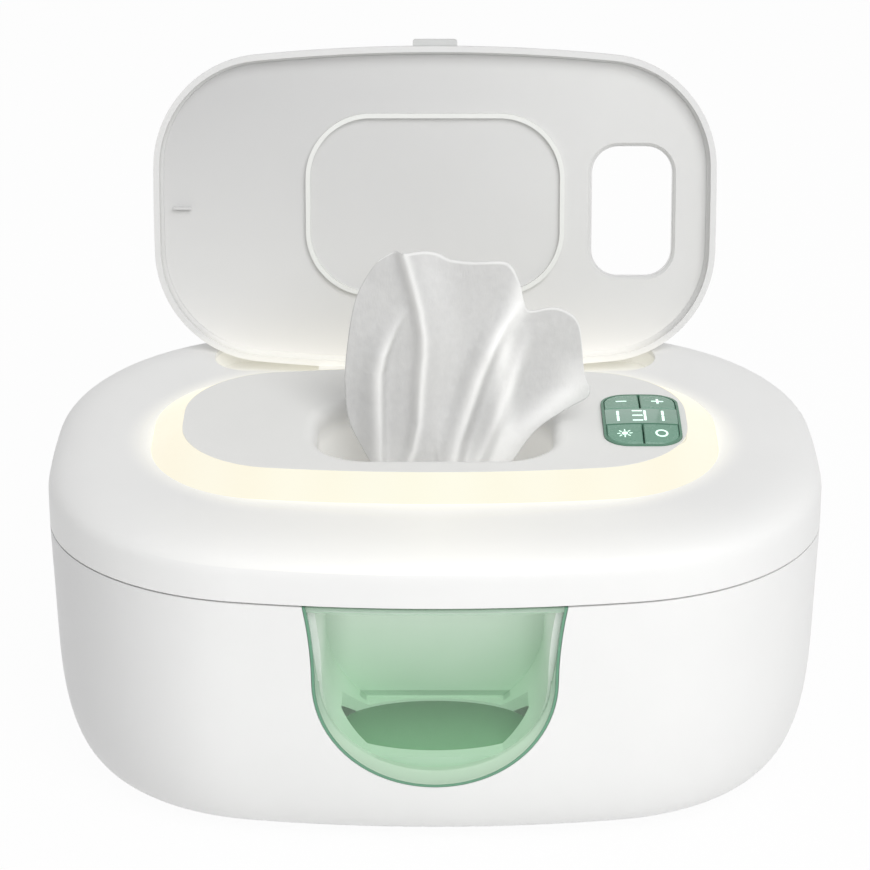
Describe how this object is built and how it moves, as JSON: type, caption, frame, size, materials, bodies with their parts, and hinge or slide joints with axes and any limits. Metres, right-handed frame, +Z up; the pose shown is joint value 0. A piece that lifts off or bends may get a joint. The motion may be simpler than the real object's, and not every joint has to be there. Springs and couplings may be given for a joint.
{
  "type": "baby wipe warmer",
  "caption": "Oval white wipe warmer with a heated tank, green front window, glowing deck ring, keypad and a hinged lid on a hinged refill cover.",
  "frame": {"origin": "on the table under the middle of the body", "axes": "+Z up, front with the window towards -Y, keypad on the +X side"},
  "size_m": [0.25, 0.189, 0.2185],
  "materials": {
    "white_shell": "satin moulded white plastic",
    "inner_white": "fine matt white plastic",
    "rubber": "soft grey rubber",
    "silicone": "white silicone",
    "steel": "plain steel",
    "aluminium": "rolled sheet",
    "film": "amber foil heater",
    "board": "green circuit board",
    "chips": "black moulded parts",
    "black_plastic": "black moulded plastic",
    "green_gasket": "green gasket",
    "lens": "clear pane with a pale green tint",
    "well": "pale green moulding",
    "pad": "dark green absorbent pad",
    "wipes": "moist non-woven wipes",
    "ring": "milky diffuser, lit warm white",
    "led": "lit light source",
    "grey_tab": "light grey plastic",
    "keys": "glossy sage green",
    "display": "glossy sage green window with lit digits"
  },
  "bodies": {
    "base": {"base_shell": "white_shell", "bottom_plate": "inner_white", "bottom_screws": "steel", "foot_front_left": "rubber", "foot_front_right": "rubber", "foot_rear_left": "rubber", "foot_rear_right": "rubber", "inner_tank": "inner_white", "tank_seal": "silicone", "heat_spreader": "aluminium", "heating_film": "film", "temperature_sensor": "chips", "thermal_fuse": "aluminium", "main_board": "board", "board_parts": "chips", "dc_inlet": "black_plastic", "window_gasket": "green_gasket", "window_lens": "lens", "window_well": "well", "moisture_pad": "pad", "wipe_stack": "wipes", "cover_hinge_pin": "steel"},
    "cover": {"top_cover": "white_shell", "light_ring": "ring", "deck_plate": "white_shell", "cover_liner": "inner_white", "cover_screws": "steel", "led_board": "board", "leds": "led", "keypad_frame": "keys", "display_window": "display", "display_module": "chips", "display_board": "board", "key_switches": "chips", "lid_hinge_pins": "steel", "wipe": "wipes"},
    "lid": {"lid_shell": "white_shell", "lid_liner": "white_shell", "lid_seal": "silicone", "lid_tab": "grey_tab"},
    "minus_key": {"key_minus": "keys"},
    "plus_key": {"key_plus": "keys"},
    "light_key": {"key_light": "keys"},
    "timer_key": {"key_timer": "keys"}
  },
  "joints": [
    {"name": "cover_hinge", "type": "hinge", "parent": "base", "child": "cover", "pos_m": [0, 0.0905, 0.086], "axis": [-1, 0, 0], "range_deg": [0, 65]},
    {"name": "lid_hinge", "type": "hinge", "parent": "cover", "child": "lid", "pos_m": [0, 0.05346, 0.10709], "axis": [1, 0, 0], "range_deg": [0, 103.8], "deforming": ["wipe"]},
    {"name": "minus_press", "type": "slide", "parent": "cover", "child": "minus_key", "axis": [0, 0.0663, -0.9978], "range_m": [0, 0.0006], "stiffness_N_per_m": 600, "springref_m": -0.001},
    {"name": "plus_press", "type": "slide", "parent": "cover", "child": "plus_key", "axis": [0, 0.0663, -0.9978], "range_m": [0, 0.0006], "stiffness_N_per_m": 600, "springref_m": -0.001},
    {"name": "light_press", "type": "slide", "parent": "cover", "child": "light_key", "axis": [0, 0.0663, -0.9978], "range_m": [0, 0.0006], "stiffness_N_per_m": 600, "springref_m": -0.001},
    {"name": "timer_press", "type": "slide", "parent": "cover", "child": "timer_key", "axis": [0, 0.0663, -0.9978], "range_m": [0, 0.0006], "stiffness_N_per_m": 600, "springref_m": -0.001}
  ]
}
